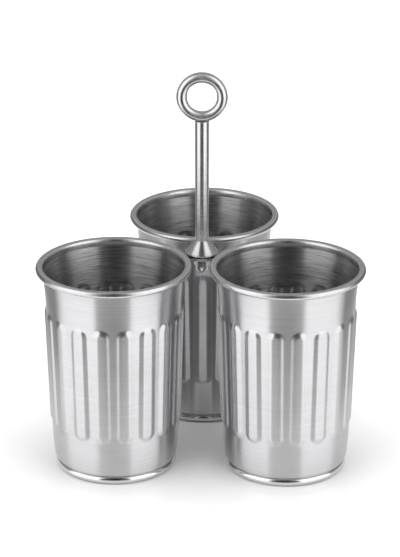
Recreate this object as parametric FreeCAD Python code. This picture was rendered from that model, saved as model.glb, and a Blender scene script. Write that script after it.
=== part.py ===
import FreeCAD, Part
import math
import os

# Serving caddy: three ribbed steel cups round one handle, sizes in millimetres.
# The origin is on the table, under the middle of the outline; +Z is up and the back cup is at +Y.

# Cup sizes
rim_od = 89.0
cup_height = 123.0
cup_gap = 10.0
sheet = 0.8
curl_od = 4.2
curl_sweep = 285.0
flare_angle = 7.2
flare_height = 21.0
base_angle = 4.7
base_height = 17.0
corner_radius = 2.0
corner_flange = 1.6

# Rib sizes
rib_count = 18
rib_width = 11.0
rib_height = 0.9
rib_top_gap = 2.2
rib_bottom_gap = 1.9
left_cup_turn = 2.0

# Foot and floor sizes
foot_od = 70.0
foot_width = 3.8
foot_height = 4.8
foot_overhang = 1.9
floor_thickness = 0.8
floor_fit = 0.1

# Bracket sizes
rim_clearance = 0.4
bracket_thickness = 1.6
bracket_disc_od = 17.2
arm_width = 9.0
tab_height = 11.0

# Handle sizes
rod_diameter = 8.0
rod_length = 72.2
ring_od = 29.2
ring_bar = 6.1
ring_seat = 0.6
spigot_diameter = 3.6
spigot_depth = 3.0
collar_od = 19.3
collar_cone_height = 7.0
collar_lip = 1.0
washer_od = 10.0
washer_thickness = 0.9

# Stud and nut sizes
stud_diameter = 5.0
stud_grip = 7.5
stud_fit = 0.05
nut_sides = 6
nut_across_flats = 8.0
nut_hex_height = 5.0
nut_dome_od = 7.4
nut_dome_neck = 1.3
nut_bore_spare = 0.6

# Places of the handle and the cups
cup_spacing = rim_od + cup_gap
handle_to_cup = cup_spacing / math.sqrt(3)
handle_y = -handle_to_cup / 4
cup_centres = {
    "left": (-cup_spacing / 2, handle_y - handle_to_cup / 2),
    "right": (cup_spacing / 2, handle_y - handle_to_cup / 2),
    "back": (0.0, handle_y + handle_to_cup),
}
half_pitch = 180.0 / rib_count
front = -90.0
rib_turns = {"left": front + left_cup_turn, "right": front, "back": front - half_pitch}


def sin_d(angle):
    return math.sin(math.radians(angle))


def cos_d(angle):
    return math.cos(math.radians(angle))


def tan_d(angle):
    return math.tan(math.radians(angle))


def at(radius, height):
    return FreeCAD.Vector(radius, 0, height)


def leaning(centre, radius, angle):
    # Point on a circle where the wall leans outward by this angle, seen on its outer side.
    return (centre[0] + radius * cos_d(angle), centre[1] - radius * sin_d(angle))


def revolve(points_and_arcs):
    face = Part.Face(Part.Wire(points_and_arcs))
    return face.revolve(FreeCAD.Vector(0, 0, 0), FreeCAD.Vector(0, 0, 1), 360)


def line(start, end):
    return Part.LineSegment(at(*start), at(*end)).toShape()


def arc(start, middle, end):
    return Part.Arc(at(*start), at(*middle), at(*end)).toShape()


def moved(shape, x, y, turn=0.0):
    copy = shape.copy()
    copy.rotate(FreeCAD.Vector(0, 0, 0), FreeCAD.Vector(0, 0, 1), turn)
    copy.translate(FreeCAD.Vector(x, y, 0))
    return copy


# Roll at the rim and turned-in corner at the foot, on the middle line of the wall
half_sheet = sheet / 2
curl_mid = curl_od / 2 - half_sheet
curl_centre = (rim_od / 2 - curl_od / 2, cup_height - curl_od / 2)
corner_centre = (foot_od / 2 - foot_overhang, foot_height + corner_radius + half_sheet)


def wall_draft():
    # Lean of the straight side that joins the rim to the foot, through the flare above and the base below.
    # Each pass works the lean out again from the last one, and it settles within a few passes.
    draft = 0.0
    passes = 30
    for _ in range(passes):
        top = leaning(curl_centre, -curl_mid, draft + flare_angle)
        bottom = leaning(corner_centre, corner_radius, draft + base_angle)
        curves = flare_height * tan_d(draft + flare_angle / 2) + base_height * tan_d(draft + base_angle / 2)
        straight = top[1] - bottom[1] - flare_height - base_height
        draft = math.degrees(math.atan2(top[0] - bottom[0] - curves, straight))
    return draft


# Middle line of the wall, from the rolled rim down to the turned-in edge
draft_angle = wall_draft()
rim_lean = draft_angle + flare_angle
base_lean = draft_angle + base_angle
rim_start = leaning(curl_centre, -curl_mid, rim_lean)
flare_radius = flare_height / (sin_d(rim_lean) - sin_d(draft_angle))
flare_centre = leaning(rim_start, flare_radius, rim_lean)
flare_end = leaning(flare_centre, -flare_radius, draft_angle)
base_end = leaning(corner_centre, corner_radius, base_lean)
base_radius = base_height / (sin_d(base_lean) - sin_d(draft_angle))
base_centre = leaning(base_end, -base_radius, base_lean)
base_start = leaning(base_centre, base_radius, draft_angle)


def wall_side(offset):
    # Edges of one face of the sheet, from the end of the roll down to the turned-in edge.
    # The offset is positive on the outer face.
    roll = curl_mid - offset
    flare = flare_radius - offset
    base = base_radius + offset
    corner = corner_radius + offset
    roll_end = leaning(curl_centre, -roll, rim_lean + curl_sweep)
    roll_mid = leaning(curl_centre, -roll, rim_lean + curl_sweep / 2)
    roll_start = leaning(curl_centre, -roll, rim_lean)
    flare_mid = leaning(flare_centre, -flare, (rim_lean + draft_angle) / 2)
    flare_low = leaning(flare_centre, -flare, draft_angle)
    base_top = leaning(base_centre, base, draft_angle)
    base_mid = leaning(base_centre, base, (draft_angle + base_lean) / 2)
    base_low = leaning(base_centre, base, base_lean)
    corner_mid = leaning(corner_centre, corner, (base_lean + 90) / 2)
    corner_low = leaning(corner_centre, corner, 90)
    flange_in = (corner_centre[0] - corner_flange, corner_low[1])
    edges = [
        arc(roll_end, roll_mid, roll_start),
        arc(roll_start, flare_mid, flare_low),
        line(flare_low, base_top),
        arc(base_top, base_mid, base_low),
        arc(base_low, corner_mid, corner_low),
        line(corner_low, flange_in),
    ]
    return edges, roll_end, flange_in


def wall_radius(height):
    # Outer radius of the wall at a height inside the flare.
    radius = flare_radius - half_sheet
    return flare_centre[0] - math.sqrt(radius ** 2 - (height - flare_centre[1]) ** 2)


def wall_core(offset):
    # Solid inside one face of the sheet, between the foot and the start of the roll.
    flare = flare_radius - offset
    base = base_radius + offset
    top = leaning(flare_centre, -flare, rim_lean)
    flare_mid = leaning(flare_centre, -flare, (rim_lean + draft_angle) / 2)
    flare_low = leaning(flare_centre, -flare, draft_angle)
    base_top = leaning(base_centre, base, draft_angle)
    base_mid = leaning(base_centre, base, (draft_angle + base_lean) / 2)
    base_low = leaning(base_centre, base, base_lean)
    return revolve([
        line((0, top[1]), top),
        arc(top, flare_mid, flare_low),
        line(flare_low, base_top),
        arc(base_top, base_mid, base_low),
        line(base_low, (0, base_low[1])),
        line((0, base_low[1]), (0, top[1])),
    ])


# Ribs: round-ended bars that lean with the wall
rib_half = rib_width / 2
wall_mid_od = flare_end[0] + base_start[0] + sheet
rib_rise = rib_height + rib_half ** 2 / wall_mid_od
rib_radius = (rib_half ** 2 + rib_rise ** 2) / (2 * rib_rise)
rib_cap = math.sqrt(rib_radius ** 2 - (rib_radius - rib_height) ** 2)


def rib_bar(radius):
    depth = rib_radius - rib_height - half_sheet
    top_z = flare_end[1] - rib_top_gap - rib_cap
    bottom_z = base_start[1] + rib_bottom_gap + rib_cap
    axis_r = flare_end[0] - depth * cos_d(draft_angle)
    axis_z = flare_end[1] + depth * sin_d(draft_angle)
    slope = tan_d(draft_angle)
    low = at(axis_r - (axis_z - bottom_z) * slope, bottom_z)
    high = at(axis_r - (axis_z - top_z) * slope, top_z)
    along = high - low
    bar = Part.makeCylinder(radius, along.Length, low, along)
    return bar.fuse([Part.makeSphere(radius, low), Part.makeSphere(radius, high)])


def cup_wall():
    outer, outer_roll, outer_flange = wall_side(half_sheet)
    inner, inner_roll, inner_flange = wall_side(-half_sheet)
    closing = [line(outer_flange, inner_flange), line(inner_roll, outer_roll)]
    shell = revolve(Part.__sortEdges__(outer + inner + closing))
    bump = rib_bar(rib_radius).cut(wall_core(0.0))
    hollow = rib_bar(rib_radius - sheet)
    turns = [half_pitch + 360.0 * index / rib_count for index in range(rib_count)]
    shell = shell.fuse([moved(bump, 0, 0, turn) for turn in turns])
    shell = shell.cut([moved(hollow, 0, 0, turn) for turn in turns])
    return shell.removeSplitter()


def cup_floor():
    radius = corner_centre[0] - floor_fit
    return Part.makeCylinder(radius, floor_thickness, at(0, foot_height + sheet))


def foot_ring():
    bead = foot_height / 2
    bead_r = foot_od / 2 - bead
    bore_r = foot_od / 2 - foot_width
    return revolve([
        line((bore_r, 0), (bead_r, 0)),
        arc((bead_r, 0), (bead_r + bead, bead), (bead_r, foot_height)),
        line((bead_r, foot_height), (bore_r, foot_height)),
        line((bore_r, foot_height), (bore_r, 0)),
    ])


# Heights up the handle
bracket_top = cup_height - curl_od - rim_clearance
bracket_low = bracket_top - bracket_thickness
collar_low = bracket_top + washer_thickness
collar_top = collar_low + collar_lip + collar_cone_height
rod_top = collar_top + rod_length
ring_mid = ring_od / 2 - ring_bar / 2
ring_z = rod_top - ring_seat + ring_od / 2
stud_low = bracket_low - stud_grip
stud_hole = stud_diameter + 2 * stud_fit


def round_bar(diameter, low, high):
    # Round bar on the axis of the handle.
    return Part.makeCylinder(diameter / 2, high - low, FreeCAD.Vector(0, handle_y, low))


def arm_bar(low, high):
    # Flat bar as wide as an arm, from the origin along +X.
    return Part.makeBox(handle_to_cup, arm_width, high - low, FreeCAD.Vector(0, -arm_width / 2, low))


def spider_bracket():
    disc = round_bar(bracket_disc_od, bracket_low, bracket_top)
    tab_low = bracket_top - tab_height
    pieces = []
    for x, y in cup_centres.values():
        angle = math.degrees(math.atan2(y - handle_y, x))
        arm = moved(arm_bar(bracket_low, bracket_top), 0, handle_y, angle)
        strip = moved(arm_bar(tab_low, bracket_top), 0, handle_y, angle)
        low_r = wall_radius(tab_low) + bracket_thickness
        high_r = wall_radius(bracket_top) + bracket_thickness
        skin = Part.makeCone(low_r, high_r, tab_height, FreeCAD.Vector(x, y, tab_low))
        core = moved(wall_core(half_sheet), x, y)
        pieces.append(arm.fuse(strip.common(skin)).cut(core))
    return disc.fuse(pieces).cut(round_bar(stud_hole, bracket_low, bracket_top)).removeSplitter()


def cap_nut():
    corner_r = nut_across_flats / 2 / cos_d(180.0 / nut_sides)
    hex_low = bracket_low - nut_hex_height
    turns = [360.0 * index / nut_sides for index in range(nut_sides + 1)]
    corners = [FreeCAD.Vector(corner_r * cos_d(turn), corner_r * sin_d(turn), hex_low) for turn in turns]
    body = Part.Face(Part.makePolygon(corners)).extrude(FreeCAD.Vector(0, 0, nut_hex_height))
    neck_low = hex_low - nut_dome_neck
    neck = round_bar(nut_dome_od, neck_low, hex_low)
    dome = Part.makeSphere(nut_dome_od / 2, FreeCAD.Vector(0, handle_y, neck_low))
    nut = moved(body, 0, handle_y).fuse([neck, dome])
    return nut.cut(round_bar(stud_hole, stud_low - nut_bore_spare, bracket_low)).removeSplitter()


def collar_washer():
    return round_bar(washer_od, bracket_top, collar_low).cut(round_bar(stud_hole, bracket_top, collar_low))


def cone_collar():
    bore_r = stud_hole / 2
    lip_r = collar_od / 2 - collar_lip / 2
    lip_top = collar_low + collar_lip
    lip_edge = (collar_od / 2, collar_low + collar_lip / 2)
    top_r = rod_diameter / 2
    body = revolve([
        line((bore_r, collar_low), (lip_r, collar_low)),
        arc((lip_r, collar_low), lip_edge, (lip_r, lip_top)),
        line((lip_r, lip_top), (top_r, collar_top)),
        line((top_r, collar_top), (bore_r, collar_top)),
        line((bore_r, collar_top), (bore_r, collar_low)),
    ])
    return moved(body, 0, handle_y)


def ring_torus():
    centre = FreeCAD.Vector(0, handle_y, ring_z)
    return Part.makeTorus(ring_mid, ring_bar / 2, centre, FreeCAD.Vector(0, 1, 0))


def handle_rod():
    rod = round_bar(rod_diameter, collar_top, rod_top).cut(ring_torus())
    stud = round_bar(stud_diameter, stud_low, collar_top)
    spigot = round_bar(spigot_diameter, collar_top, rod_top - ring_seat + spigot_depth)
    return rod.fuse([stud, spigot]).removeSplitter()


def handle_ring():
    return ring_torus().cut(handle_rod())


# One STEP file for each piece
os.makedirs("parts", exist_ok=True)
wall = cup_wall()
nodes = {
    "spider_bracket": spider_bracket(),
    "cap_nut": cap_nut(),
    "collar_washer": collar_washer(),
    "cone_collar": cone_collar(),
    "handle_rod": handle_rod(),
    "handle_ring": handle_ring(),
}
for side, (x, y) in cup_centres.items():
    nodes["cup_wall_" + side] = moved(wall, x, y, rib_turns[side])
    nodes["cup_floor_" + side] = moved(cup_floor(), x, y)
    nodes["foot_ring_" + side] = moved(foot_ring(), x, y)
for name, shape in nodes.items():
    shape.exportStep("parts/" + name + ".step")
    print(name, shape.isValid(), len(shape.Solids), round(shape.Volume, 1))
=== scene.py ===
# %% [markdown]
# # A ribbed steel serving caddy
# Three tapered steel cups stand round one rod handle with a ring grip.
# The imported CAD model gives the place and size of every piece, and this lesson dresses it.
# Most pieces are round, so nearly all of them start as a thin profile that is spun about an axis.

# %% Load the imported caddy
import math

import bmesh
import bpy
from mathutils import Matrix, Vector


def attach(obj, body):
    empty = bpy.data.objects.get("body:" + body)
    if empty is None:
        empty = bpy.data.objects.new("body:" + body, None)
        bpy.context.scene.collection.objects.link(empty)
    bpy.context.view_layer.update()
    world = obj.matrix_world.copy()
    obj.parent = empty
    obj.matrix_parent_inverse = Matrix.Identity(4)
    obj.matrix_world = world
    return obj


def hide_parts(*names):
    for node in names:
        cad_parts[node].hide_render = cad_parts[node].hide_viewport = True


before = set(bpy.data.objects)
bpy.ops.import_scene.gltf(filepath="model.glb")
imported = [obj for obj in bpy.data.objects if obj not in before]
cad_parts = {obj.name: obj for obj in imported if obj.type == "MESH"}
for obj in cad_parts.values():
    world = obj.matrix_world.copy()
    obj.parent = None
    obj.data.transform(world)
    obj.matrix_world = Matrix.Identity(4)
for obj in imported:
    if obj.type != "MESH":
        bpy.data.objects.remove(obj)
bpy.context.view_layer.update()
print("nodes:", sorted(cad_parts))

# %% [markdown]
# ## Where things stand
# The cups sit on the corners of an even triangle, with the handle in its middle.
# Sizes are written in millimetres and turned into metres by one factor, so they read like a drawing.

# %% Places of the cups and the handle
mm = 0.001
rim_od = 89.0 * mm
cup_gap = 10.0 * mm
cup_spacing = rim_od + cup_gap
handle_to_cup = cup_spacing / math.sqrt(3)
handle_y = -handle_to_cup / 4
handle_place = Vector((0, handle_y, 0))
cup_places = {
    "left": Vector((-cup_spacing / 2, handle_y - handle_to_cup / 2, 0)),
    "right": Vector((cup_spacing / 2, handle_y - handle_to_cup / 2, 0)),
    "back": Vector((0, handle_y + handle_to_cup, 0)),
}
print("handle at y", round(handle_y, 4))

# %% [markdown]
# ## Shared surface effects
# Brushed steel carries thousands of fine lines that all run one way.
# An image would fix their size, so a noise that is stretched along the lines makes them instead.
# The same noise drives colour, roughness and a very low bump.
# It sits in a group that each finish reuses with its own values.
# Hands leave soft cloudy marks, so a second group makes a mask of them from a plain noise.


# %% A helper for shader groups
def new_group(name, inputs, outputs):
    group = bpy.data.node_groups.new(name, "ShaderNodeTree")
    for label, kind, value in inputs:
        socket = group.interface.new_socket(label, in_out="INPUT", socket_type=kind)
        if value is not None:
            socket.default_value = value
    for label, kind in outputs:
        group.interface.new_socket(label, in_out="OUTPUT", socket_type=kind)
    return group, group.nodes.new("NodeGroupInput"), group.nodes.new("NodeGroupOutput")


# %% A helper for arithmetic nodes
def calculate(tree, operation, *values):
    # One Math node, whose values are numbers or the outputs of other nodes.
    node = tree.nodes.new("ShaderNodeMath")
    node.operation = operation
    for socket, value in zip(node.inputs, values):
        if isinstance(value, float):
            socket.default_value = value
        else:
            tree.links.new(value, socket)
    return node.outputs[0]


# %% Brush lines
def make_brush_lines():
    group, given, result = new_group(
        "brush_lines",
        [("Vector", "NodeSocketVector", None),
         ("Stretch", "NodeSocketVector", (20.0, 20.0, 1500.0)),
         ("Contrast", "NodeSocketFloat", 1.0)],
        [("Lines", "NodeSocketFloat")])
    nodes, links = group.nodes, group.links
    stretch = nodes.new("ShaderNodeVectorMath")
    stretch.operation = "MULTIPLY"
    links.new(given.outputs["Vector"], stretch.inputs[0])
    links.new(given.outputs["Stretch"], stretch.inputs[1])
    noise = nodes.new("ShaderNodeTexNoise")
    noise.inputs["Scale"].default_value = 1.0
    noise.inputs["Detail"].default_value = 4.0
    noise.inputs["Roughness"].default_value = 0.65
    links.new(stretch.outputs[0], noise.inputs["Vector"])
    # The noise is spread about its middle value of one half.
    contrast = given.outputs["Contrast"]
    centre = calculate(group, "MULTIPLY_ADD", contrast, -0.5, 0.5)
    spread = calculate(group, "MULTIPLY_ADD", noise.outputs["Fac"], contrast, centre)
    spread.node.use_clamp = True
    links.new(spread, result.inputs["Lines"])
    return group


brush_lines = make_brush_lines()
print("made", brush_lines.name)


# %% Handling marks
def make_handling_marks():
    group, given, result = new_group(
        "handling_marks",
        [("Vector", "NodeSocketVector", None), ("Size", "NodeSocketFloat", 60.0)],
        [("Marks", "NodeSocketFloat")])
    nodes, links = group.nodes, group.links
    cloud = nodes.new("ShaderNodeTexNoise")
    cloud.inputs["Detail"].default_value = 5.0
    cloud.inputs["Roughness"].default_value = 0.6
    links.new(given.outputs["Vector"], cloud.inputs["Vector"])
    links.new(given.outputs["Size"], cloud.inputs["Scale"])
    edge = nodes.new("ShaderNodeMapRange")
    edge.interpolation_type = "SMOOTHSTEP"
    edge.inputs["From Min"].default_value = 0.42
    edge.inputs["From Max"].default_value = 0.72
    links.new(cloud.outputs["Fac"], edge.inputs["Value"])
    links.new(edge.outputs["Result"], result.inputs["Marks"])
    return group


handling_marks = make_handling_marks()
print("made", handling_marks.name)

# %% [markdown]
# ## The steels
# The walls are brushed round the cup, so a light's reflection smears up and down into a tall soft band.
# A smear like that is anisotropy, and it needs a direction, which a UV map named smear gives.
# Its U runs up the walls, the rod and the cone, and outward on the cup bottoms.
# On the rims and the ring it runs along the bar.
# The feet and the nut are polished: they have no smear and mirror the room with hardly any blur.

# %% A helper for steel finishes
line_strength = 0.4
smudge_share = 0.6


def steel(name, dark, light, rough_low, rough_high, stretch, line_depth, mark_size,
          smear=0.0, use_uv=False, contrast=1.6):
    finish = bpy.data.materials.new(name)
    finish.use_nodes = True
    tree = finish.node_tree
    nodes, links = tree.nodes, tree.links
    shader = nodes["Principled BSDF"]
    shader.inputs["Metallic"].default_value = 1.0
    shader.inputs["Anisotropic"].default_value = smear
    place = nodes.new("ShaderNodeTexCoord")
    source = place.outputs["UV"] if use_uv else place.outputs["Object"]
    lines = nodes.new("ShaderNodeGroup")
    lines.node_tree = brush_lines
    lines.inputs["Stretch"].default_value = stretch
    lines.inputs["Contrast"].default_value = contrast
    links.new(source, lines.inputs["Vector"])
    marks = nodes.new("ShaderNodeGroup")
    marks.node_tree = handling_marks
    marks.inputs["Size"].default_value = mark_size
    links.new(place.outputs["Object"], marks.inputs["Vector"])
    tint = nodes.new("ShaderNodeMix")
    tint.data_type = "RGBA"
    tint.inputs["A"].default_value = (*dark, 1)
    tint.inputs["B"].default_value = (*light, 1)
    links.new(lines.outputs["Lines"], tint.inputs["Factor"])
    links.new(tint.outputs["Result"], shader.inputs["Base Color"])
    rough = nodes.new("ShaderNodeMapRange")
    rough.inputs["To Min"].default_value = rough_low
    rough.inputs["To Max"].default_value = rough_high
    links.new(lines.outputs["Lines"], rough.inputs["Value"])
    smudge = calculate(tree, "MULTIPLY_ADD", marks.outputs["Marks"],
                       (rough_high - rough_low) * smudge_share, rough.outputs["Result"])
    links.new(smudge, shader.inputs["Roughness"])
    bump = nodes.new("ShaderNodeBump")
    bump.inputs["Strength"].default_value = line_strength
    bump.inputs["Distance"].default_value = line_depth
    links.new(lines.outputs["Lines"], bump.inputs["Height"])
    links.new(bump.outputs["Normal"], shader.inputs["Normal"])
    if smear:
        along = nodes.new("ShaderNodeTangent")
        along.direction_type = "UV_MAP"
        along.uv_map = "smear"
        links.new(along.outputs["Tangent"], shader.inputs["Tangent"])
    return finish


# %% The finishes
# A stretch is the number of noise cells in a metre along each axis of the piece, or of its UV map.
round_the_cup = (18.0, 18.0, 1400.0)
round_the_disc = (1400.0, 18.0, 18.0)
round_the_bar = (300.0, 30.0, 30.0)
brushed_wall = steel(
    "brushed_wall", dark=(0.55, 0.55, 0.56), light=(0.67, 0.67, 0.68), rough_low=0.27, rough_high=0.34,
    stretch=round_the_cup, line_depth=0.010 * mm, mark_size=45.0, smear=1.0)
brushed_inside = steel(
    "brushed_inside", dark=(0.28, 0.28, 0.28), light=(0.74, 0.74, 0.73), rough_low=0.24, rough_high=0.36,
    stretch=(70.0, 70.0, 1900.0), line_depth=0.03 * mm, mark_size=45.0, smear=1.0, contrast=2.0)
brushed_floor = steel(
    "brushed_floor", dark=(0.54, 0.54, 0.55), light=(0.66, 0.66, 0.67), rough_low=0.34, rough_high=0.44,
    stretch=round_the_disc, line_depth=0.01 * mm, mark_size=45.0, smear=0.8, use_uv=True)
polished_foot = steel(
    "polished_foot", dark=(0.66, 0.66, 0.67), light=(0.74, 0.74, 0.75), rough_low=0.10, rough_high=0.18,
    stretch=round_the_cup, line_depth=0.004 * mm, mark_size=70.0)
satin_rim = steel(
    "satin_rim", dark=(0.52, 0.52, 0.53), light=(0.64, 0.64, 0.65), rough_low=0.14, rough_high=0.18,
    stretch=round_the_bar, line_depth=0.0006 * mm, mark_size=70.0, smear=1.0, use_uv=True)
drawn_rod = steel(
    "drawn_rod", dark=(0.61, 0.61, 0.62), light=(0.69, 0.69, 0.70), rough_low=0.19, rough_high=0.24,
    stretch=(30.0, 30.0, 300.0), line_depth=0.0004 * mm, mark_size=90.0, smear=1.0)
drawn_ring = steel(
    "drawn_ring", dark=(0.59, 0.59, 0.60), light=(0.67, 0.67, 0.68), rough_low=0.19, rough_high=0.24,
    stretch=round_the_bar, line_depth=0.0004 * mm, mark_size=90.0, smear=1.0, use_uv=True)
turned_cone = steel(
    "turned_cone", dark=(0.52, 0.52, 0.53), light=(0.64, 0.64, 0.65), rough_low=0.22, rough_high=0.30,
    stretch=(60.0, 60.0, 2200.0), line_depth=0.004 * mm, mark_size=150.0, smear=1.0)
polished_nut = steel(
    "polished_nut", dark=(0.54, 0.54, 0.55), light=(0.62, 0.62, 0.63), rough_low=0.12, rough_high=0.20,
    stretch=(900.0, 900.0, 25.0), line_depth=0.003 * mm, mark_size=90.0)
bracket_sheet = steel(
    "bracket_sheet", dark=(0.50, 0.50, 0.51), light=(0.62, 0.62, 0.63), rough_low=0.28, rough_high=0.42,
    stretch=(25.0, 900.0, 900.0), line_depth=0.01 * mm, mark_size=120.0)
print("finishes:", [finish.name for finish in bpy.data.materials])

# %% [markdown]
# ## Drawing and placing pieces
# A profile is drawn in the XZ plane with a single vertex.
# Spinning that vertex leaves an arc behind it, and extruding it leaves a line.
# So the profile needs no list of points, and spinning the whole of it about an axis gives the round piece.

# %% Helpers that draw a profile
merge_distance = 0.001 * mm


def verts_in(geometry):
    return [item for item in geometry if isinstance(item, bmesh.types.BMVert)]


def draw_arc(bm, vert, centre, degrees, steps):
    made = bmesh.ops.spin(bm, geom=[vert], cent=(centre[0], 0, centre[1]), axis=(0, 1, 0),
                          angle=math.radians(degrees), steps=steps)
    return verts_in(made["geom_last"])[0]


def draw_line(bm, vert, end, steps=1):
    start = vert.co.copy()
    goal = Vector((end[0], 0, end[1]))
    for step in range(1, steps + 1):
        vert = bmesh.ops.extrude_vert_indiv(bm, verts=[vert])["verts"][0]
        vert.co = start.lerp(goal, step / steps)
    return vert


def spin_round(bm, steps, centre=(0, 0, 0), axis=(0, 0, 1)):
    bmesh.ops.spin(bm, geom=bm.verts[:] + bm.edges[:], cent=centre, axis=axis,
                   angle=math.tau, steps=steps, use_merge=True)
    bmesh.ops.remove_doubles(bm, verts=bm.verts, dist=merge_distance)


# %% Helpers that finish a piece
map_radius = 40 * mm


def nearest_turn(angle, base):
    # The same angle, counted so that it lies within half a turn of the base.
    return base + (angle - base + math.pi) % math.tau - math.pi


def map_up_the_wall(bm, flat=False):
    # U runs up the wall, or outward on a flat disc, in metres.
    # V runs round the piece, and is counted on a circle of the cups' size.
    layer = bm.loops.layers.uv.new("smear")
    for face in bm.faces:
        middle = face.calc_center_median()
        facing = math.atan2(middle.y, middle.x)
        for loop in face.loops:
            co = loop.vert.co
            turn = nearest_turn(math.atan2(co.y, co.x), facing)
            up = math.hypot(co.x, co.y) if flat else co.z
            loop[layer].uv = (up, turn * map_radius)


def map_along_a_bar(bm, faces, angles, reach, bar):
    # U runs along a bar that is bent into a ring and V runs round the bar, both in metres.
    layer = bm.loops.layers.uv.get("smear") or bm.loops.layers.uv.new("smear")
    for face in faces:
        along, around = angles(face.calc_center_median())
        for loop in face.loops:
            u, v = angles(loop.vert.co)
            loop[layer].uv = (nearest_turn(u, along) * reach, nearest_turn(v, around) * bar)


def add_piece(bm, name, finishes, body, node, place):
    bmesh.ops.translate(bm, verts=bm.verts, vec=place)
    mesh = bpy.data.meshes.new(name)
    bm.to_mesh(mesh)
    bm.free()
    for finish in finishes:
        mesh.materials.append(finish)
    mesh.shade_smooth()
    piece = bpy.data.objects.new(name, mesh)
    bpy.context.scene.collection.objects.link(piece)
    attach(piece, body)
    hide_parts(node)
    print(name, len(mesh.vertices), "vertices")
    return piece


# %% [markdown]
# ## The cup wall
# The wall is one sheet: turned in at the foot, nearly straight up the side, then flared.
# At the rim it is rolled outward.
# The profile follows the middle of that sheet, and a Solidify modifier gives it its thickness.
# The rolled rim is a real roll, because its round top catches the brightest line in the picture.

# %% Sizes of the cup wall
cup_height = 123.0 * mm
sheet = 0.8 * mm
curl_od = 4.2 * mm
curl_sweep = 285.0
flare_angle = 7.2
flare_height = 21.0 * mm
base_angle = 4.7
base_height = 17.0 * mm
corner_radius = 2.0 * mm
corner_flange = 1.6 * mm
foot_od = 70.0 * mm
foot_width = 3.8 * mm
foot_height = 4.8 * mm
foot_overhang = 1.9 * mm


def sin_d(angle):
    return math.sin(math.radians(angle))


def tan_d(angle):
    return math.tan(math.radians(angle))


def leaning(centre, radius, angle):
    # Point on a circle where the wall leans outward by this angle, seen on its outer side.
    lean = math.radians(angle)
    return (centre[0] + radius * math.cos(lean), centre[1] - radius * math.sin(lean))


curl_mid = curl_od / 2 - sheet / 2
curl_centre = (rim_od / 2 - curl_od / 2, cup_height - curl_od / 2)
corner_centre = (foot_od / 2 - foot_overhang, foot_height + corner_radius + sheet / 2)


# %% Middle line of the wall
settling_passes = 30


def wall_draft():
    # Lean of the straight side between the flare and the base; it settles within a few passes.
    draft = 0.0
    for _ in range(settling_passes):
        top = leaning(curl_centre, -curl_mid, draft + flare_angle)
        bottom = leaning(corner_centre, corner_radius, draft + base_angle)
        curves = flare_height * tan_d(draft + flare_angle / 2) + base_height * tan_d(draft + base_angle / 2)
        straight = top[1] - bottom[1] - flare_height - base_height
        draft = math.degrees(math.atan2(top[0] - bottom[0] - curves, straight))
    return draft


draft_angle = wall_draft()
rim_lean = draft_angle + flare_angle
base_lean = draft_angle + base_angle
rim_start = leaning(curl_centre, -curl_mid, rim_lean)
flare_radius = flare_height / (sin_d(rim_lean) - sin_d(draft_angle))
flare_centre = leaning(rim_start, flare_radius, rim_lean)
flare_end = leaning(flare_centre, -flare_radius, draft_angle)
base_end = leaning(corner_centre, corner_radius, base_lean)
base_radius = base_height / (sin_d(base_lean) - sin_d(draft_angle))
base_centre = leaning(base_end, -base_radius, base_lean)
base_start = leaning(base_centre, base_radius, draft_angle)
print("the side leans", round(draft_angle, 2), "degrees")

# %% [markdown]
# ## The ribs
# Each rib is a long flat-topped bump with round ends, pressed outward from inside.
# Separate rib meshes would leave a seam, so the ribs are raised in the wall itself.
# A smooth step over the distance to the rib's middle line gives a soft flank and half-round ends at once.

# %% Rib shape
rib_count = 18
rib_half = 5.5 * mm
rib_crest = 1.9 * mm
rib_height = 0.9 * mm
rib_top_gap = 2.2 * mm
rib_bottom_gap = 1.9 * mm
rib_top_z = flare_end[1] - rib_top_gap
rib_bottom_z = base_start[1] + rib_bottom_gap


def raise_ribs(bm):
    pitch = math.tau / rib_count
    for vert in bm.verts:
        x, y, z = vert.co
        if not base_start[1] < z < flare_end[1]:
            continue
        radius = math.hypot(x, y)
        across = (math.atan2(y, x) % pitch - pitch / 2) * radius
        past_end = max(z - (rib_top_z - rib_half), rib_bottom_z + rib_half - z, 0.0)
        distance = math.hypot(across, past_end)
        rise = min(max((rib_half - distance) / (rib_half - rib_crest), 0.0), 1.0)
        rise = rise * rise * (3 - 2 * rise)
        vert.co += Vector((x, y, 0)) / radius * rib_height * rise


# %% [markdown]
# The cups are welded on at slightly different turns.
# The right one shows a valley to the front, the left one is turned a little, and the back one shows a rib.

# %% One cup wall
steps_per_rib = 24
end_rows = 18
end_zone = 1.2 * rib_half
half_pitch = 180.0 / rib_count
front = -90.0
left_cup_turn = 2.0
rib_turns = {"left": front + left_cup_turn, "right": front, "back": front - half_pitch}
outer_finishes = [brushed_wall, satin_rim]
inner_finishes = [brushed_inside, satin_rim]


def wall_at(height):
    return (flare_end[0] - (flare_end[1] - height) * tan_d(draft_angle), height)


def rim_angles(point):
    radius = math.hypot(point.x, point.y)
    return math.atan2(point.y, point.x), math.atan2(point.z - curl_centre[1], radius - curl_centre[0])


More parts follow.
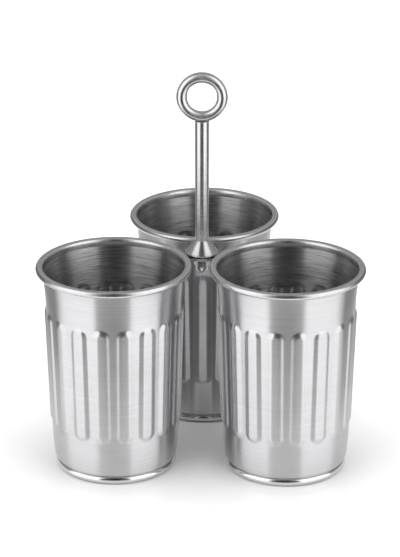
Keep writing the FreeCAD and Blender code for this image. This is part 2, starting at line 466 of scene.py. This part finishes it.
def make_cup(side):
    bm = bmesh.new()
    end = leaning(curl_centre, -curl_mid, rim_lean + curl_sweep)
    vert = bm.verts.new((end[0], 0, end[1]))
    vert = draw_arc(bm, vert, curl_centre, -curl_sweep, steps=24)
    vert = draw_arc(bm, vert, flare_centre, -flare_angle, steps=8)
    vert = draw_line(bm, vert, wall_at(rib_top_z - end_zone), steps=end_rows)
    vert = draw_line(bm, vert, wall_at(rib_bottom_z + end_zone), steps=8)
    vert = draw_line(bm, vert, base_start, steps=end_rows)
    vert = draw_arc(bm, vert, base_centre, base_angle, steps=5)
    vert = draw_arc(bm, vert, corner_centre, 90 - base_lean, steps=6)
    draw_line(bm, vert, (corner_centre[0] - corner_flange, vert.co.z))
    spin_round(bm, steps=rib_count * steps_per_rib)
    raise_ribs(bm)
    bmesh.ops.recalc_face_normals(bm, faces=bm.faces)
    side_face = min(bm.faces, key=lambda face: abs(face.calc_center_median().z - cup_height / 2))
    if side_face.normal.dot(side_face.calc_center_median()) < 0:
        bmesh.ops.reverse_faces(bm, faces=bm.faces)
    map_up_the_wall(bm)
    rim_faces = [face for face in bm.faces if face.calc_center_median().z > rim_start[1] - curl_od / 2]
    map_along_a_bar(bm, rim_faces, rim_angles, rim_od / 2, curl_mid)
    for face in rim_faces:
        face.material_index = outer_finishes.index(satin_rim)
    turn = Matrix.Rotation(math.radians(rib_turns[side]), 3, "Z")
    bmesh.ops.rotate(bm, verts=bm.verts, cent=(0, 0, 0), matrix=turn)
    cup = add_piece(bm, "cup_" + side, outer_finishes + inner_finishes, "cups", "cup_wall_" + side,
                    cup_places[side])
    thicken = cup.modifiers.new("sheet", "SOLIDIFY")
    thicken.thickness = sheet
    thicken.offset = 0.0
    thicken.use_even_offset = True
    thicken.material_offset = len(outer_finishes)


for side in cup_places:
    make_cup(side)

# %% [markdown]
# ## The cup bottoms
# A flat disc closes each cup from inside and rests on the turned-in edge.
# Its upper edge is eased a little, so that it catches a thin line of light.

# %% Cup bottoms
bottom_gap = 0.1 * mm
bottom_thickness = 0.8 * mm


def make_bottom(side):
    bm = bmesh.new()
    radius = corner_centre[0] - bottom_gap
    low = foot_height + sheet
    top = low + bottom_thickness
    ease = 0.2 * mm
    vert = bm.verts.new((0, 0, top))
    vert = draw_line(bm, vert, (radius - ease, top), steps=10)
    vert = draw_line(bm, vert, (radius, top - ease))
    vert = draw_line(bm, vert, (radius, low))
    draw_line(bm, vert, (0, low))
    spin_round(bm, steps=96)
    bmesh.ops.recalc_face_normals(bm, faces=bm.faces)
    map_up_the_wall(bm, flat=True)
    add_piece(bm, "bottom_" + side, [brushed_floor], "cups", "cup_floor_" + side,
              cup_places[side])


for side in cup_places:
    make_bottom(side)

# %% [markdown]
# ## The foot rings
# Each foot is a solid ring with a half-round outer edge and a flat underside that stands on the table.
# Its inner corners are eased, as those of a turned ring would be.


# %% Foot rings
def make_foot(side):
    bm = bmesh.new()
    bead = foot_height / 2
    bead_x = foot_od / 2 - bead
    bore = foot_od / 2 - foot_width
    ease = 0.3 * mm
    first = bm.verts.new((bore, 0, ease))
    vert = draw_line(bm, first, (bore + ease, 0))
    vert = draw_line(bm, vert, (bead_x, 0))
    vert = draw_arc(bm, vert, (bead_x, bead), -180, steps=24)
    vert = draw_line(bm, vert, (bore + ease, foot_height))
    vert = draw_line(bm, vert, (bore, foot_height - ease))
    bm.edges.new((vert, first))
    spin_round(bm, steps=192)
    bmesh.ops.recalc_face_normals(bm, faces=bm.faces)
    add_piece(bm, "foot_" + side, [polished_foot], "cups", "foot_ring_" + side,
              cup_places[side])


for side in cup_places:
    make_foot(side)

# %% [markdown]
# ## The handle
# The grip is a closed ring of round bar, the rod stands under it, and a cone covers the joint at its foot.
# Their heights add up from the bracket to the top of the ring.

# %% Sizes of the handle
ring_od = 29.2 * mm
ring_bar = 6.1 * mm
rod_diameter = 8.0 * mm
rod_length = 72.2 * mm
ring_seat = 0.6 * mm
collar_od = 19.3 * mm
collar_cone_height = 7.0 * mm
collar_lip = 1.0 * mm
washer_thickness = 0.9 * mm
bracket_thickness = 1.6 * mm
rim_clearance = 0.4 * mm
bracket_top = cup_height - curl_od - rim_clearance
bracket_low = bracket_top - bracket_thickness
collar_low = bracket_top + washer_thickness
collar_top = collar_low + collar_lip + collar_cone_height
rod_top = collar_top + rod_length
ring_z = rod_top - ring_seat + ring_od / 2
print("ring centre at", round(ring_z / mm, 1), "mm")

# %% [markdown]
# The ring is a closed loop of round bar.
# There is no bmesh operator for a torus, so a circle is spun about the ring's centre.

# %% Ring grip
ring_mid = ring_od / 2 - ring_bar / 2


def ring_angles(point):
    radius = math.hypot(point.x, point.z - ring_z)
    return math.atan2(point.z - ring_z, point.x), math.atan2(point.y, radius - ring_mid)


def make_ring():
    bm = bmesh.new()
    bar_place = Matrix.Translation((ring_mid, 0, ring_z))
    bmesh.ops.create_circle(bm, segments=40, radius=ring_bar / 2, matrix=bar_place)
    spin_round(bm, steps=128, centre=(0, 0, ring_z), axis=(0, 1, 0))
    bmesh.ops.recalc_face_normals(bm, faces=bm.faces)
    map_along_a_bar(bm, bm.faces, ring_angles, ring_mid, ring_bar / 2)
    add_piece(bm, "ring_grip", [drawn_ring], "handle", "handle_ring", handle_place)


make_ring()

# %% [markdown]
# The rod's lower end is a thinner stud.
# It passes through the cone, the washer and the bracket into the nut.
# A plain cylinder would leave out its shoulder and its eased ends, so one profile with all of them is spun.

# %% Rod
stud_diameter = 5.0 * mm
stud_grip = 7.5 * mm
crease = math.radians(40)


def make_rod():
    bm = bmesh.new()
    radius = rod_diameter / 2
    ease = 0.3 * mm
    stud_radius = stud_diameter / 2
    stud_low = bracket_low - stud_grip
    vert = bm.verts.new((0, 0, stud_low))
    vert = draw_line(bm, vert, (stud_radius - ease, stud_low))
    vert = draw_line(bm, vert, (stud_radius, stud_low + ease))
    vert = draw_line(bm, vert, (stud_radius, collar_top))
    vert = draw_line(bm, vert, (radius - ease / 2, collar_top))
    vert = draw_line(bm, vert, (radius, collar_top + ease / 2))
    vert = draw_line(bm, vert, (radius, rod_top - ease), steps=12)
    vert = draw_line(bm, vert, (radius - ease, rod_top), steps=2)
    draw_line(bm, vert, (0, rod_top), steps=4)
    spin_round(bm, steps=64)
    bmesh.ops.recalc_face_normals(bm, faces=bm.faces)
    map_up_the_wall(bm)
    rod = add_piece(bm, "rod", [drawn_rod], "handle", "handle_rod", handle_place)
    rod.data.set_sharp_from_angle(angle=crease)


make_rod()

# %% [markdown]
# The cone stands on the washer and hides the stud.
# The operator for cones would give it a sharp edge, and the real one has a small round lip.
# So its profile is drawn and spun too.

# %% Cone
stud_fit = 0.05 * mm


def make_cone():
    bm = bmesh.new()
    bore = stud_diameter / 2 + stud_fit
    lip = collar_lip / 2
    edge_x = collar_od / 2 - lip
    first = bm.verts.new((bore, 0, collar_low))
    vert = draw_line(bm, first, (edge_x, collar_low), steps=2)
    vert = draw_arc(bm, vert, (edge_x, collar_low + lip), -180, steps=12)
    vert = draw_line(bm, vert, (rod_diameter / 2, collar_top), steps=10)
    vert = draw_line(bm, vert, (bore, collar_top))
    bm.edges.new((vert, first))
    spin_round(bm, steps=96)
    bmesh.ops.recalc_face_normals(bm, faces=bm.faces)
    map_up_the_wall(bm)
    cone = add_piece(bm, "cone", [turned_cone], "handle", "cone_collar", handle_place)
    cone.data.set_sharp_from_angle(angle=crease)


make_cone()

# %% [markdown]
# ## Under the cone
# A washer, a three-armed bracket and a domed nut hold the handle.
# The nut is six-sided above and round below.
# So it is an extruded six-cornered face with a spun dome under it.
# The bracket and the washer are plain flat pieces, so the CAD shapes stay and only get a finish.

# %% Domed nut
nut_sides = 6
nut_across_flats = 8.0 * mm
nut_hex_height = 5.0 * mm
nut_dome_od = 7.4 * mm
nut_dome_neck = 1.3 * mm


def make_nut():
    bm = bmesh.new()
    hex_low = bracket_low - nut_hex_height
    dome_z = hex_low - nut_dome_neck
    vert = bm.verts.new((nut_dome_od / 2, 0, hex_low))
    vert = draw_line(bm, vert, (nut_dome_od / 2, dome_z))
    draw_arc(bm, vert, (0, dome_z), 90, steps=10)
    spin_round(bm, steps=48)
    half_side = math.pi / nut_sides
    hex_place = Matrix.Translation((0, 0, hex_low)) @ Matrix.Rotation(half_side, 4, "Z")
    hexagon = bmesh.ops.create_circle(bm, cap_ends=True, segments=nut_sides, matrix=hex_place,
                                      radius=nut_across_flats / 2 / math.cos(half_side))
    cap = hexagon["verts"][0].link_faces[0]
    raised = bmesh.ops.extrude_face_region(bm, geom=[cap], use_keep_orig=True)
    bmesh.ops.translate(bm, verts=verts_in(raised["geom"]), vec=(0, 0, nut_hex_height))
    bmesh.ops.recalc_face_normals(bm, faces=bm.faces)
    nut = add_piece(bm, "dome_nut", [polished_nut], "cups", "cap_nut", handle_place)
    nut.data.set_sharp_from_angle(angle=crease)


make_nut()

# %% Bracket and washer
for node, finish in {"spider_bracket": bracket_sheet, "collar_washer": polished_nut}.items():
    cad_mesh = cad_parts[node].data
    cad_mesh.materials.clear()
    cad_mesh.materials.append(finish)
    print(node, "wears", finish.name)

# %% [markdown]
# ## Floor
# The caddy stands on a wide white table, a little behind its front edge. Stage sizes are in metres.
# For rays that come from the camera or a mirror, the table gets some light of its own, so it reads as white.
# Close to the cups less of it is open to the room.
# There this light fades with the rest into a soft shadow.


# %% A helper for flat stage pieces
def add_sheet(name, finish, corners):
    bm = bmesh.new()
    bm.faces.new([bm.verts.new(corner) for corner in corners])
    mesh = bpy.data.meshes.new(name)
    bm.to_mesh(mesh)
    bm.free()
    mesh.materials.append(finish)
    flat = bpy.data.objects.new(name, mesh)
    bpy.context.scene.collection.objects.link(flat)
    print("placed", name)
    return flat


# %% A helper for levels of light
def add_levels(tree, share, levels):
    # Grey levels over a share that runs from 0 to 1.
    band = tree.nodes.new("ShaderNodeValToRGB")
    ramp = band.color_ramp
    while len(ramp.elements) < len(levels):
        ramp.elements.new(0.5)
    for element, (position, level) in zip(ramp.elements, levels):
        element.position = position
        element.color = (level, level, level, 1)
    tree.links.new(share, band.inputs["Fac"])
    return band.outputs["Color"]


# %% White table
table_white = (0.85, 0.85, 0.85, 1)
table_roughness = 0.15
table_mirror = 0.3
table_front = 0.25
table_reach = 6.0
table_lift = 0.66
shadow_reach = 0.07
shadow_depth = 1.6


def make_table():
    finish = bpy.data.materials.new("white_table")
    finish.use_nodes = True
    tree = finish.node_tree
    nodes, links = tree.nodes, tree.links
    shader = nodes["Principled BSDF"]
    shader.inputs["Base Color"].default_value = table_white
    shader.inputs["Roughness"].default_value = table_roughness
    shader.inputs["Specular IOR Level"].default_value = table_mirror
    path = nodes.new("ShaderNodeLightPath").outputs
    seen = calculate(tree, "MAXIMUM", path["Is Camera Ray"], path["Is Glossy Ray"])
    seen_too = calculate(tree, "MAXIMUM", seen, path["Is Transmission Ray"])
    lift = calculate(tree, "MULTIPLY", seen_too, table_lift)
    open_room = nodes.new("ShaderNodeAmbientOcclusion")
    open_room.inputs["Distance"].default_value = shadow_reach
    openness = calculate(tree, "POWER", open_room.outputs["AO"], shadow_depth)
    glow = nodes.new("ShaderNodeEmission")
    links.new(calculate(tree, "MULTIPLY", lift, openness), glow.inputs["Strength"])
    both = nodes.new("ShaderNodeAddShader")
    links.new(shader.outputs["BSDF"], both.inputs[0])
    links.new(glow.outputs["Emission"], both.inputs[1])
    links.new(both.outputs["Shader"], nodes["Material Output"].inputs["Surface"])
    front_edge = [(-table_reach, -table_front, 0), (table_reach, -table_front, 0)]
    back_edge = [(table_reach, table_reach, 0), (-table_reach, table_reach, 0)]
    add_sheet("table", finish, front_edge + back_edge)


make_table()

# %% [markdown]
# ## Side cards
# Polished steel on a white table loses its edges, because it mirrors white all round.
# A photographer would stand a grey card on either side, and that draws a darker line down both edges.
# The cards are there for the steel alone: the camera and the light on the table pass through them.


# %% A helper for sheets that glow
def glowing(name, axis, reach, levels):
    # Light levels over the distance from the origin along one axis, as a share of the reach.
    finish = bpy.data.materials.new(name)
    finish.use_nodes = True
    tree = finish.node_tree
    nodes, links = tree.nodes, tree.links
    nodes.remove(nodes["Principled BSDF"])
    place = nodes.new("ShaderNodeTexCoord")
    split = nodes.new("ShaderNodeSeparateXYZ")
    links.new(place.outputs["Object"], split.inputs["Vector"])
    distance = calculate(tree, "ABSOLUTE", split.outputs[axis])
    share = calculate(tree, "DIVIDE", distance, reach)
    glow = nodes.new("ShaderNodeEmission")
    links.new(add_levels(tree, share, levels), glow.inputs["Color"])
    links.new(glow.outputs["Emission"], nodes["Material Output"].inputs["Surface"])
    return finish


# %% Grey cards
# Height up the card as a share of it, and how bright it is there: the dark band is what the handle mirrors.
card_levels = [(0.0, 0.50), (0.10, 0.50), (0.13, 0.18), (0.38, 0.18), (0.44, 0.50), (1.0, 0.50)]
card_x = 0.20
card_near = -0.04
card_far = 0.60
card_height = 0.45
grey_card = glowing("grey_card", "Z", card_height, card_levels)
for name, x in {"card_left": -card_x, "card_right": card_x}.items():
    foot = [(x, card_near, 0), (x, card_far, 0)]
    head = [(x, card_far, card_height), (x, card_near, card_height)]
    card = add_sheet(name, grey_card, foot + head)
    card.visible_camera = False
    card.visible_diffuse = False
    card.visible_shadow = False

# %% [markdown]
# ## Dim screen
# Straight ahead, where the camera stands, a studio is dim.
# That gives the cups and the rod their grey middle.
# A large screen far in front of the caddy holds this dim view.
# At both ends it is as bright as the room there.
# The camera looks through it, so that the views from behind keep their pale background.

# %% Screen in front
# Distance from the middle of the screen as a share of its half width, and how bright it is there.
screen_levels = [(0.0, 0.03), (0.2, 0.03), (0.77, 0.18), (1.0, 1.7)]
screen_away = 3.0
# Angles in degrees from the caddy to the screen's sides, lower edge and upper edge.
screen_aside = 31.5
screen_down = 60.0
screen_up = 65.0
screen_half = screen_away * tan_d(screen_aside)
screen_low = -screen_away * tan_d(screen_down)
screen_high = screen_away * tan_d(screen_up)
dim_screen = glowing("dim_screen", "X", screen_half, screen_levels)
foot = [(-screen_half, -screen_away, screen_low), (screen_half, -screen_away, screen_low)]
head = [(screen_half, -screen_away, screen_high), (-screen_half, -screen_away, screen_high)]
screen = add_sheet("screen", dim_screen, foot + head)
screen.visible_camera = False

# %% [markdown]
# ## Studio room
# Steel shows the room round it.
# The front half of this room is one wide soft light, left and right of the screen.
# The back half is greyer.
# The world holds this as a function of direction: one ramp over the bearing for the room above the table,
# one for what lies below the table's edges, and a dim ceiling.

# %% Levels of the room
# Bearing as a share of a half turn away from straight ahead, and how bright the room is there.
room_levels = [(0.0, 1.7), (0.489, 1.7), (0.522, 0.4), (1.0, 0.4)]
below_levels = [(0.0, 1.7), (0.489, 1.7), (0.522, 1.05), (1.0, 1.05)]
ceiling_level = 0.45
# Heights of a direction, from -1 straight down to 1 straight up, where one level goes over to the next.
horizon_from, horizon_to = -0.05, 0.0
ceiling_from, ceiling_to = 0.75, 0.95


def add_blend(tree, height, first, last, under, over):
    # Goes from one colour to the other while the direction's height runs from first to last.
    nodes, links = tree.nodes, tree.links
    step = nodes.new("ShaderNodeMapRange")
    step.interpolation_type = "SMOOTHSTEP"
    step.inputs["From Min"].default_value = first
    step.inputs["From Max"].default_value = last
    links.new(height, step.inputs["Value"])
    blend = nodes.new("ShaderNodeMix")
    blend.data_type = "RGBA"
    links.new(step.outputs["Result"], blend.inputs["Factor"])
    links.new(under, blend.inputs["A"])
    links.new(over, blend.inputs["B"])
    return blend.outputs["Result"]


# %% Room light
def make_room():
    world = bpy.data.worlds.new("studio")
    bpy.context.scene.world = world
    world.use_nodes = True
    tree = world.node_tree
    nodes, links = tree.nodes, tree.links
    direction = nodes.new("ShaderNodeTexCoord")
    split = nodes.new("ShaderNodeSeparateXYZ")
    links.new(direction.outputs["Generated"], split.inputs["Vector"])
    height = split.outputs["Z"]
    forward = calculate(tree, "MULTIPLY", split.outputs["Y"], -1.0)
    bearing = calculate(tree, "ARCTAN2", split.outputs["X"], forward)
    turn = calculate(tree, "DIVIDE", calculate(tree, "ABSOLUTE", bearing), math.pi)
    above = add_levels(tree, turn, room_levels)
    below = add_levels(tree, turn, below_levels)
    ceiling = nodes.new("ShaderNodeRGB")
    ceiling.outputs[0].default_value = (ceiling_level, ceiling_level, ceiling_level, 1)
    walls = add_blend(tree, height, horizon_from, horizon_to, below, above)
    whole = add_blend(tree, height, ceiling_from, ceiling_to, walls, ceiling.outputs[0])
    links.new(whole, nodes["Background"].inputs["Color"])
    print("lit by the world named", world.name)


make_room()
bpy.context.scene.view_settings.view_transform = "Standard"

# %% [markdown]
# ## Camera
# The photograph was taken with a long lens, from a little above the rims.
# The place and the lens come from fitting the rims, feet and ring to their measured places in the picture.

# %% Camera at the photograph's angle
image_height = 557
focal_pixels = 2598.2
sensor_height = 36.0
camera_place = (36.0 * mm, -1415.4 * mm, 665.8 * mm)
# Angles in radians, down from level and left from straight ahead.
look_down = 0.3819
look_left = 0.0265
camera_data = bpy.data.cameras.new("camera")
camera_data.sensor_fit = "VERTICAL"
camera_data.sensor_height = sensor_height
camera_data.lens = focal_pixels / image_height * sensor_height
camera = bpy.data.objects.new("camera", camera_data)
bpy.context.scene.collection.objects.link(camera)
camera.location = camera_place
level_part = math.cos(look_down)
aim = Vector((-math.sin(look_left) * level_part, math.cos(look_left) * level_part, -math.sin(look_down)))
camera.rotation_euler = aim.to_track_quat("-Z", "Y").to_euler()
bpy.context.scene.camera = camera
print("lens", round(camera_data.lens, 1), "mm")
